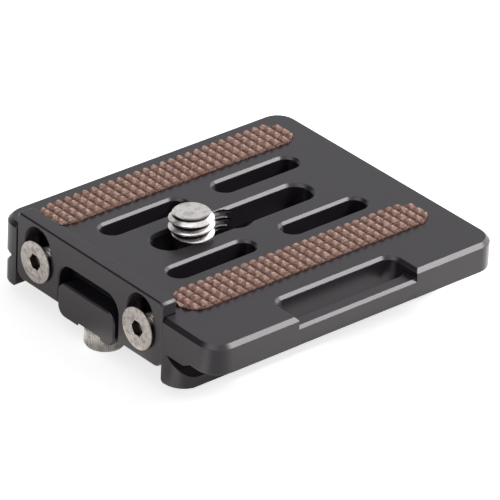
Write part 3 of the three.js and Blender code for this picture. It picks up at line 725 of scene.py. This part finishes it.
def nylon_finish(name, settings):
    """Natural nylon, slightly waxy."""
    material, maker, place = new_finish(name)
    grain = place_grain(maker, place, grain=0.0002, cloud=0.002)
    colour = varied(maker, grain["Cloud"], settings.finish.nylon, dark=0.9, pale=1.08)
    rough = maker.mix_value(grain["Grain"], *ROUGHNESS[name])
    normal = bump(maker, grain["Grain"], distance=0.000005, strength=0.4)
    end_finish(maker, colour, rough, normal, {"Subsurface Weight": 0.08})
    return material


FINISHES = {
    "anodised_black": anodised_finish,
    "grip_rubber_brown": rubber_finish,
    "natural_nylon": nylon_finish,
    **{name: steel_finish for name in STEELS},
}


# Meshes

def new_piece(name, mesh, finish, body, node):
    """An object that shows a mesh in place of a CAD node and rides on a body.

    Its finish is shared, and made at its first use.
    """
    piece = new_object(name, mesh)
    settings = bpy.context.scene.quick_plate
    mesh.materials.clear()
    mesh.materials.append(bpy.data.materials.get(finish) or FINISHES[finish](finish, settings))
    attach(piece, body)
    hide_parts(node)


@contextmanager
def edited(mesh):
    """A mesh as loose faces and edges. Their changes are written back at the end."""
    shape = bmesh.new()
    shape.from_mesh(mesh)
    yield shape
    shape.to_mesh(mesh)
    shape.free()


def smooth_by_angle(mesh, degrees):
    mesh.polygons.foreach_set("use_smooth", [True] * len(mesh.polygons))
    mesh.set_sharp_from_angle(angle=math.radians(degrees))


def weighted_by_area(mesh):
    """The mesh with normals in which the large flat faces outweigh their roundings."""
    carrier = new_object(mesh.name, mesh)
    modifier = carrier.modifiers.new("normals", "WEIGHTED_NORMAL")
    modifier.keep_sharp = True
    modifier.weight = 50
    return shown_mesh(carrier, mesh.name)


def machined_mesh(node, name, bevel, threaded=lambda point: False, on_crest=lambda point: False):
    """A merged copy of a CAD node with its sharp edges slightly rounded and marked in an attribute.

    Where it is threaded the edges stay crisp, and the thread's crests are marked for bare metal with a
    painted sheen.
    """
    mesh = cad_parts[node].data.copy()
    mesh.name = name
    with edited(mesh) as shape:
        bmesh.ops.remove_doubles(shape, verts=shape.verts, dist=MERGE_DISTANCE)
        bmesh.ops.dissolve_limit(shape, angle_limit=FLAT_ANGLE, verts=shape.verts, edges=shape.edges)
        layer = shape.faces.layers.float.new("edge")
        sharp = [
            edge
            for edge in shape.edges
            if len(edge.link_faces) == 2
            and edge.calc_face_angle(0) >= SHARP_ANGLE
            and not threaded((edge.verts[0].co + edge.verts[1].co) / 2)
        ]
        made = bmesh.ops.bevel(
            shape, geom=sharp, offset=bevel, segments=2, profile=0.5, affect="EDGES", loop_slide=True
        )
        for face in made["faces"]:
            face[layer] = 1
        for face in shape.faces:
            if all(on_crest(vert.co) for vert in face.verts):
                face[layer] = THREAD_RUB_AND_SHEEN
    smooth_by_angle(mesh, degrees=32)
    return weighted_by_area(mesh)


def hexagon_reach(across_flats, angle):
    """Distance from the middle of a hexagon to its side, in the direction of an angle."""
    return across_flats / 2 / math.cos((angle + math.pi / 6) % (math.pi / 3) - math.pi / 6)


def turned_mesh(rings, steps=72):
    """A mesh of rings round the Z axis, each joined to the next, with a map of turn and run.

    A ring is its radius and level, and "hex" where it is a socket's wall, which is marked for painted shade.
    The rings run outside up and inside down, so that the faces point outwards.
    """
    mesh = bpy.data.meshes.new("turned")
    with edited(mesh) as shape:
        map_layer = shape.loops.layers.uv.new("turned")
        recess_layer = shape.verts.layers.float.new("recess")
        rows = []
        run = 0
        last = rings[0]
        for ring in rings:
            radius, level = ring[0], ring[1]
            hexagonal = len(ring) > 2
            run += math.hypot(radius - last[0], level - last[1])
            last = ring
            row = []
            for step in range(steps if radius else 1):
                angle = 2 * math.pi * step / steps
                reach = hexagon_reach(2 * radius, angle) if hexagonal else radius
                vert = shape.verts.new((reach * math.cos(angle), reach * math.sin(angle), level))
                vert[recess_layer] = float(hexagonal)
                row.append(vert)
            rows.append((row, run))
        for (lower, low_run), (upper, high_run) in zip(rows, rows[1:]):
            for step in range(steps):
                after = (step + 1) % steps
                corners = [
                    (lower[step % len(lower)], step, low_run),
                    (lower[after % len(lower)], step + 1, low_run),
                    (upper[after % len(upper)], step + 1, high_run),
                    (upper[step % len(upper)], step, high_run),
                ]
                if len(lower) == 1:
                    corners.pop(0)
                elif len(upper) == 1:
                    corners.pop(2)
                face = shape.faces.new([corner[0] for corner in corners])
                for loop, corner in zip(face.loops, corners):
                    loop[map_layer].uv = (corner[1] / steps, corner[2])
    return mesh


def rounded(radius, level, size, flat_first):
    """Three rings that round an outer corner between a flat face and a wall above or below it.

    The corner of a bore is rounded with a negative size.
    """
    slope = size * (1 - math.sqrt(0.5))
    if flat_first:
        return [(radius - size, level), (radius - slope, level + slope), (radius, level + size)]
    return [(radius, level - size), (radius - slope, level - slope), (radius - size, level)]


def socket_rings(sizes, face, point, lead, flare):
    """A hexagonal socket in a head's lower face, from its drilled point out to its flared mouth."""
    wall = sizes.socket / 2
    deep = face + sizes.socket_depth
    mouth = wall / math.cos(math.pi / 6) + flare
    return [(0, deep + point), (wall, deep, "hex"), (wall, face + lead, "hex"), (mouth, face)]


def map_along(mesh):
    """Gives a mesh the same map as a turned one: the turn, and the height."""
    layer = mesh.uv_layers.new(name="turned")
    for loop in mesh.loops:
        place = mesh.vertices[loop.vertex_index].co
        layer.data[loop.index].uv = (math.atan2(place.y, place.x) / (2 * math.pi), place.z)
    return mesh


def joined_mesh(name, meshes, place):
    """The meshes as one, moved to their place by a matrix."""
    joined = bpy.data.meshes.new(name)
    with edited(joined) as shape:
        for mesh in meshes:
            shape.from_mesh(mesh)
        bmesh.ops.recalc_face_normals(shape, faces=shape.faces)
        bmesh.ops.transform(shape, matrix=place, verts=shape.verts)
    smooth_by_angle(joined, degrees=30)
    return joined


def threaded_rod(sizes, levels, shares, cones, steps):
    """A screw's thread.

    Levels are its bottom, its top and a ridge's start, shares are those of a crest and of a flank in the
    pitch, cones are the heights of the lower and the upper one, and steps run around and along.
    """
    values = {"Root Radius": sizes.radius - sizes.depth, "Crest Radius": sizes.radius, "Pitch": sizes.pitch}
    values["Bottom"], values["Top"], values["Level"] = levels
    values["Crest Share"], values["Flank Share"] = shares
    values["Bottom Cone"], values["Top Cone"] = cones
    values["Steps Around"], values["Steps Along"] = steps
    return map_along(run_geometry_tree("threaded_rod", "thread", values))


def small_rod(sizes, bottom, top, steps_along):
    """The M3 thread of a small screw, between two levels."""
    cones = (sizes.depth, sizes.tip)
    return threaded_rod(sizes, (bottom, top, 0.0), shares=(0.2, 0.36), cones=cones, steps=(48, steps_along))


def middle_tip(node):
    """The tip of the CAD pad's pyramid that lies nearest to the pad's middle."""
    low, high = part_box(node)
    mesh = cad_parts[node].data
    tips = [vertex.co for vertex in mesh.vertices if vertex.co.z > high.z - MERGE_DISTANCE]
    middle = (low + high) / 2
    return min(tips, key=lambda tip: (tip - middle).length).copy()


def at_middle(low, high, level=0):
    """The matrix that moves a turned piece to the middle of a box, at a level."""
    return Matrix.Translation(((low.x + high.x) / 2, (low.y + high.y) / 2, level))


class PlateOperator:
    """What every operator of this add-on shares."""

    bl_options = {"REGISTER", "UNDO"}


class QUICKPLATE_OT_body(PlateOperator, bpy.types.Operator):
    """Finishes the machined plate with its slots, rails and strap window"""

    bl_idname = "quickplate.body"
    bl_label = "Machined Plate"

    def execute(self, context):
        edges = context.scene.quick_plate.edges
        axis = Vector((PLATE_LOW.x + edges.hole_place, (SCREW_LOW.y + SCREW_HIGH.y) / 2))

        def within(reach):
            return lambda point: (point.xy - axis).length < reach

        hole, crest = within(edges.hole_reach), within(edges.crest_reach)
        mesh = machined_mesh("plate_body", "machined_plate", edges.bevel, hole, crest)
        new_piece("machined_plate", mesh, "anodised_black", "plate", "plate_body")
        return {"FINISHED"}


class QUICKPLATE_OT_lip(PlateOperator, bpy.types.Operator):
    """Finishes the anti-twist lip"""

    bl_idname = "quickplate.lip"
    bl_label = "Anti-Twist Lip"

    def execute(self, context):
        mesh = machined_mesh("anti_twist_lip", "sliding_lip", context.scene.quick_plate.edges.bevel)
        new_piece("sliding_lip", mesh, "anodised_black", "lip", "anti_twist_lip")
        return {"FINISHED"}


class QUICKPLATE_OT_pads(PlateOperator, bpy.types.Operator):
    """Moulds the two grip pads with their field of pyramids"""

    bl_idname = "quickplate.pads"
    bl_label = "Grip Pads"

    def execute(self, context):
        sizes = context.scene.quick_plate.pad
        for side in ("far", "near"):
            low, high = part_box("grip_pad_" + side)
            middle = (low + high) / 2
            tip = middle_tip("grip_pad_" + side)
            values = {
                "Length": high.x - low.x,
                "Width": high.y - low.y,
                "Bottom": low.z,
                "Top": high.z,
                "Depth": sizes.depth,
                "Pitch": sizes.pitch,
                "Tip X": tip.x,
                "Tip Y": tip.y,
                "Middle X": middle.x,
                "Middle Y": middle.y,
                "Rounding": sizes.rounding,
                "Cells": sizes.cells,
                "Outline Steps": 64,
            }
            name = "pyramid_pad_" + side
            mesh = run_geometry_tree("pyramid_field", name, values)
            with edited(mesh) as shape:
                bmesh.ops.remove_doubles(shape, verts=shape.verts, dist=MERGE_DISTANCE / 2)
                lower = [face for face in shape.faces if face.normal.z < DOWNWARD]
                edges = list(dict.fromkeys(edge for face in lower for edge in face.edges))
                verts = list(dict.fromkeys(vert for face in lower for vert in face.verts))
                bmesh.ops.dissolve_limit(shape, angle_limit=FLAT_ANGLE, verts=verts, edges=edges)
            smooth_by_angle(mesh, degrees=60)
            new_piece(name, mesh, "grip_rubber_brown", "plate", "grip_pad_" + side)
        return {"FINISHED"}


class QUICKPLATE_OT_lip_screws(PlateOperator, bpy.types.Operator):
    """Turns the two flat-head screws that clamp the lip"""

    bl_idname = "quickplate.lip_screws"
    bl_label = "Lip Clamp Screws"

    def execute(self, context):
        settings = context.scene.quick_plate
        sizes, small = settings.lip_screw, settings.small_thread
        shank = sizes.head_rim + sizes.head_taper
        rings = [
            *socket_rings(sizes, 0, point=0.0003, lead=0.00012, flare=0.00008),
            *rounded(sizes.head_radius, 0, sizes.head_break, True),
            (sizes.head_radius, sizes.head_rim),
            (sizes.head_radius - RIM_BREAK, sizes.head_rim + RIM_BREAK),
            (small.radius, shank),
            (small.radius - small.depth, shank + small.depth),
            (0, shank + small.depth),
        ]
        for side in ("far", "near"):
            low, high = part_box("lip_screw_" + side)
            thread = small_rod(small, shank - THREAD_OVERLAP, high.x - low.x, 120)
            place = Matrix.Translation((low.x, (low.y + high.y) / 2, (low.z + high.z) / 2))
            place = place @ Matrix.Rotation(math.pi / 2, 4, "Y")
            name = "clamp_screw_" + side
            mesh = joined_mesh(name, [thread, turned_mesh(rings)], place)
            body = side + "_clamp_screw"
            new_piece(name, mesh, "stainless_dull", body, "lip_screw_" + side)
        return {"FINISHED"}


class QUICKPLATE_OT_stop_screws(PlateOperator, bpy.types.Operator):
    """Turns the two knurled stop screws under the plate's ends"""

    bl_idname = "quickplate.stop_screws"
    bl_label = "Stop Screws"

    def execute(self, context):
        settings = context.scene.quick_plate
        sizes, small = settings.stop_screw, settings.small_thread
        for end in ("lip_end", "free_end"):
            low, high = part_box("stop_screw_" + end)
            core = (high.x - low.x) / 2 - sizes.knurl_height
            knurl_start = sizes.head_break * KNURL_START
            rings = [
                *socket_rings(sizes, 0, point=0.0004, lead=0.00015, flare=0.0001),
                *rounded(core, 0, sizes.head_break, True),
                (core, knurl_start),
                (core, sizes.head_height - GROOVE_END),
                *rounded(core, sizes.head_height, HEAD_TOP_BREAK, False),
                (small.radius, sizes.head_height),
                (0, sizes.head_height),
            ]
            values = {
                "Radius": core - sizes.knurl_height * RIDGE_SINK,
                "Ridge Radius": sizes.knurl_height * (1 + RIDGE_SINK),
                "Bottom": knurl_start,
                "Top": sizes.head_height - RIDGE_END,
                "Ridges": sizes.knurl_count,
            }
            ridges = map_along(run_geometry_tree("knurled_band", "ridges", values))
            thread = small_rod(small, sizes.head_height - THREAD_OVERLAP, high.z - low.z, 72)
            name = "knurled_screw_" + end
            mesh = joined_mesh(name, [thread, turned_mesh(rings), ridges], at_middle(low, high, low.z))
            new_piece(name, mesh, "stainless_knurled", "plate", "stop_screw_" + end)
        return {"FINISHED"}


class QUICKPLATE_OT_camera_screw(PlateOperator, bpy.types.Operator):
    """Turns the captive camera screw"""

    bl_idname = "quickplate.camera_screw"
    bl_label = "Camera Screw"

    def execute(self, context):
        sizes = context.scene.quick_plate.camera_screw
        head_radius = (SCREW_HIGH.x - SCREW_LOW.x) / 2
        bottom = SCREW_LOW.z
        head_top = bottom + sizes.head_height
        thread_bottom = TOP_FACE + THREAD_GAP
        neck_top = thread_bottom + NECK_OVERLAP
        rings = [
            *socket_rings(sizes, bottom, point=0.0005, lead=0.0002, flare=0.00012),
            *rounded(head_radius, bottom, sizes.head_break, True),
            *rounded(head_radius, head_top, HEAD_TOP_BREAK, False),
            (sizes.neck_radius + NECK_FILLET, head_top),
            (sizes.neck_radius, head_top + NECK_FILLET),
            (sizes.neck_radius, neck_top),
            (0, neck_top),
        ]
        levels = (thread_bottom, SCREW_HIGH.z, TOP_FACE + sizes.first_ridge)
        cones = (0.0, sizes.radius - sizes.top_radius)
        thread = threaded_rod(sizes, levels, shares=(0.16, 0.32), cones=cones, steps=(120, 112))
        place = at_middle(SCREW_LOW, SCREW_HIGH)
        mesh = joined_mesh("captive_screw", [thread, turned_mesh(rings, LARGE_STEPS)], place)
        new_piece("captive_screw", mesh, "bright_turned_steel", "screw", "camera_screw")
        return {"FINISHED"}


class QUICKPLATE_OT_washer(PlateOperator, bpy.types.Operator):
    """Turns the nylon washer under the camera screw's head"""

    bl_idname = "quickplate.washer"
    bl_label = "Nylon Washer"

    def execute(self, context):
        sizes = context.scene.quick_plate.washer
        low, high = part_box("camera_screw_washer")
        outer = (high.x - low.x) / 2
        rings = [
            (sizes.bore + sizes.edge, low.z),
            *rounded(outer, low.z, sizes.edge, True),
            *rounded(outer, high.z, sizes.edge, False),
            *rounded(sizes.bore, high.z, -sizes.edge, True),
            *rounded(sizes.bore, low.z, -sizes.edge, False),
        ]
        mesh = turned_mesh(rings, LARGE_STEPS)
        with edited(mesh) as shape:
            bmesh.ops.remove_doubles(shape, verts=shape.verts, dist=MERGE_DISTANCE / 2)
        mesh = joined_mesh("nylon_washer", [mesh], at_middle(low, high))
        new_piece("nylon_washer", mesh, "natural_nylon", "screw_carriage", "camera_screw_washer")
        return {"FINISHED"}


class QUICKPLATE_OT_studio(PlateOperator, bpy.types.Operator):
    """Sets up the floor, the softbox, the room's light and the camera"""

    bl_idname = "quickplate.studio"
    bl_label = "Studio"

    def execute(self, context):
        studio = context.scene.quick_plate.studio
        context.scene.view_settings.view_transform = "Standard"
        make_floor(studio)
        make_room(context.scene, studio)
        make_softbox(studio)
        make_camera(context.scene, studio)
        return {"FINISHED"}


# Light on the floor that only shiny surfaces see: angle round the plate in degrees, and brightness
FLOOR_AROUND = (
    (-180, 0.43), (-160, 0.5), (-155, 1.4), (-150, 1.3), (-144, 0.2), (-124, 0.2), (-108, 0.8),
    (-90, 0.9), (-42, 0.9), (-28, 1.8), (10, 1.8), (40, 0.6), (130, 0.43), (180, 0.43),
)
# Where that light sets in beside the plate, from its box outwards, along X and along Y
OPEN_ALONG = (-0.007, -0.002)
OPEN_ACROSS = (0.003, 0.0085)
# A brighter half ring of floor before the lip end's stop screw: its inner edge, its outer edge,
# where it sets in on the lip's side, and its brightness
RING_INNER = (0.004, 0.0062)
RING_OUTER = (0.0084, 0.0074)
RING_OUTWARD = (0, 0.002)
RING_LIGHT = 1.6

# Cosines from the middle of a patch of the room: its faded edge, and its full part
PATCH_EDGE = 0.9
BRIGHT_PATCH_CORE = 0.97
DARK_PATCH_CORE = 0.95
# Height, as the sine of its angle, over which the walls turn into the ceiling
CEILING_EDGE = (0.6, 0.95)


def fill_ramp(ramp, stops):
    """Sets a ramp's stops from angles in degrees round a full circle, and grey levels."""
    while len(ramp.elements) > 1:
        ramp.elements.remove(ramp.elements[0])
    for index, (angle, level) in enumerate(stops):
        share = (angle + 180) / 360
        stop = ramp.elements[0] if index == 0 else ramp.elements.new(share)
        stop.position = share
        stop.color = (level, level, level, 1)


def make_floor(studio):
    """A plain pale floor under the stop screws' heads, see-through from below.

    The camera sees it a little lighter than it is lit, and shiny surfaces see light and dark round it.
    """
    half = studio.floor_size / 2
    corners = [(-half, -half, 0), (half, -half, 0), (half, half, 0), (-half, half, 0)]
    mesh = bpy.data.meshes.new("studio_floor")
    mesh.from_pydata(corners, [], [(0, 1, 2, 3)])
    floor = new_object("studio_floor", mesh)
    material, maker, place = new_finish("pale_floor")
    spot = maker.split(place)
    turn = maker.math("ARCTAN2", spot["Y"], spot["X"]) / (2 * math.pi)
    around = maker.add("ShaderNodeValToRGB", {"Fac": turn + 0.5})
    fill_ramp(around.color_ramp, FLOOR_AROUND)
    open_x = (abs(spot["X"]) - PLATE_HIGH.x).between(*OPEN_ALONG)
    open_y = (abs(spot["Y"]) - PLATE_HIGH.y).between(*OPEN_ACROSS)
    open_floor = Value(maker, around.outputs["Color"]) * maker.math("MAXIMUM", open_x, open_y)
    outward = STOP_SCREW_PLACE - spot["X"]
    apart = maker.math("SQRT", outward * outward + spot["Y"] * spot["Y"])
    ring = apart.between(*RING_INNER) * apart.between(*RING_OUTER) * outward.between(*RING_OUTWARD)
    open_floor = maker.math("MAXIMUM", open_floor, ring * RING_LIGHT)
    path = maker.outputs("ShaderNodeLightPath")
    strength = path["Is Camera Ray"] * studio.floor_glow + path["Is Glossy Ray"] * open_floor
    tint = maker.mix_colour(path["Is Camera Ray"], shade(studio.floor_warmth), shade(WHITE))
    glow = maker.get("ShaderNodeEmission", {"Color": tint, "Strength": strength})
    matt = maker.get("ShaderNodeBsdfDiffuse", {"Color": shade(WHITE, studio.floor_shade)})
    lit = maker.get("ShaderNodeAddShader", {0: matt, 1: glow})
    below = maker.get("ShaderNodeNewGeometry", out="Backfacing")
    clear = maker.get("ShaderNodeBsdfTransparent")
    surface = maker.get("ShaderNodeMixShader", {0: below, 1: lit, 2: clear})
    maker.add("ShaderNodeOutputMaterial", {"Surface": surface})
    mesh.materials.append(material)


def make_room(scene, studio):
    """An even white room that is dimmer as a light, and in shiny surfaces, than it looks."""
    scene.world = bpy.data.worlds.new("studio_room")
    maker = tree_of(scene.world)
    path = maker.outputs("ShaderNodeLightPath")
    sky = maker.get("ShaderNodeTexCoord", out="Generated")
    ceiling = maker.split(sky)["Z"].between(*CEILING_EDGE)
    shiny = maker.mix_value(ceiling, studio.room_reflection, studio.ceiling_reflection)
    for patch in ("panel", "side", "window", "dark"):
        middle = tuple(getattr(studio, patch + "_direction"))
        level = getattr(studio, patch + "_reflection")
        toward = maker.get("ShaderNodeVectorMath", {0: sky, 1: middle}, "Value", operation="DOT_PRODUCT")
        core = DARK_PATCH_CORE if patch == "dark" else BRIGHT_PATCH_CORE
        shiny = maker.mix_value(toward.between(PATCH_EDGE, core), shiny, level)
    strength = maker.mix_value(path["Is Glossy Ray"], studio.room_light, shiny)
    seen = maker.math("MAXIMUM", path["Is Camera Ray"], path["Is Transmission Ray"])
    strength = maker.mix_value(seen, strength, studio.background)
    back = maker.get("ShaderNodeBackground", {"Color": shade(WHITE), "Strength": strength})
    maker.add("ShaderNodeOutputWorld", {"Surface": back})


def make_softbox(studio):
    """A round softbox that faces the plate and spares the bright camera screw."""
    light = bpy.data.lights.new("softbox", "AREA")
    light.shape = "DISK"
    light.size = studio.softbox_size
    light.energy = studio.softbox_power
    light.color = studio.softbox_colour
    lamp = new_object("softbox", light)
    away = Vector(studio.softbox_direction).normalized()
    lamp.location = away * studio.softbox_distance + Vector((0, 0, TOP_FACE))
    lamp.rotation_euler = away.to_track_quat("Z", "Y").to_euler()
    spared = bpy.data.collections.new("spared_by_softbox")
    spared.objects.link(bpy.data.objects["captive_screw"])
    lamp.light_linking.receiver_collection = spared
    for item in spared.collection_objects:
        item.light_linking.link_state = "EXCLUDE"


def make_camera(scene, studio):
    """A long lens at the photograph's viewing angle."""
    data = bpy.data.cameras.new("long_lens")
    data.lens = studio.camera_lens
    data.sensor_width = SENSOR_WIDTH
    data.clip_start, data.clip_end = CAMERA_RANGE
    camera = new_object("long_lens", data)
    right = Vector(studio.camera_right).normalized()
    up = Vector(studio.camera_up).normalized()
    turn = Matrix((right, up, right.cross(up))).transposed().to_4x4()
    camera.matrix_world = Matrix.Translation(studio.camera_place) @ turn
    scene.camera = camera


STEPS = (
    QUICKPLATE_OT_body,
    QUICKPLATE_OT_lip,
    QUICKPLATE_OT_pads,
    QUICKPLATE_OT_lip_screws,
    QUICKPLATE_OT_stop_screws,
    QUICKPLATE_OT_camera_screw,
    QUICKPLATE_OT_washer,
    QUICKPLATE_OT_studio,
)


class QUICKPLATE_PT_sidebar(bpy.types.Panel):
    """Lists the steps that dress the quick-release plate"""

    bl_idname = "QUICKPLATE_PT_sidebar"
    bl_label = "Quick-Release Plate"
    bl_space_type = "VIEW_3D"
    bl_region_type = "UI"
    bl_category = "Quick Plate"

    def draw(self, context):
        for step in STEPS:
            self.layout.operator(step.bl_idname)


CLASSES = (
    EdgeSizes,
    PadSizes,
    SmallThread,
    LipScrewSizes,
    StopScrewSizes,
    CameraScrewSizes,
    WasherSizes,
    Finishes,
    StudioSettings,
    QuickPlateSettings,
    *STEPS,
    QUICKPLATE_PT_sidebar,
)


def register():
    for cls in CLASSES:
        bpy.utils.register_class(cls)
    bpy.types.Scene.quick_plate = PointerProperty(type=QuickPlateSettings)


def unregister():
    del bpy.types.Scene.quick_plate
    for cls in reversed(CLASSES):
        bpy.utils.unregister_class(cls)


def main():
    """Registers the add-on and runs its steps in order."""
    register()
    for step in STEPS:
        group, name = step.bl_idname.split(".")
        getattr(getattr(bpy.ops, group), name)()


if __name__ == "__main__":
    main()
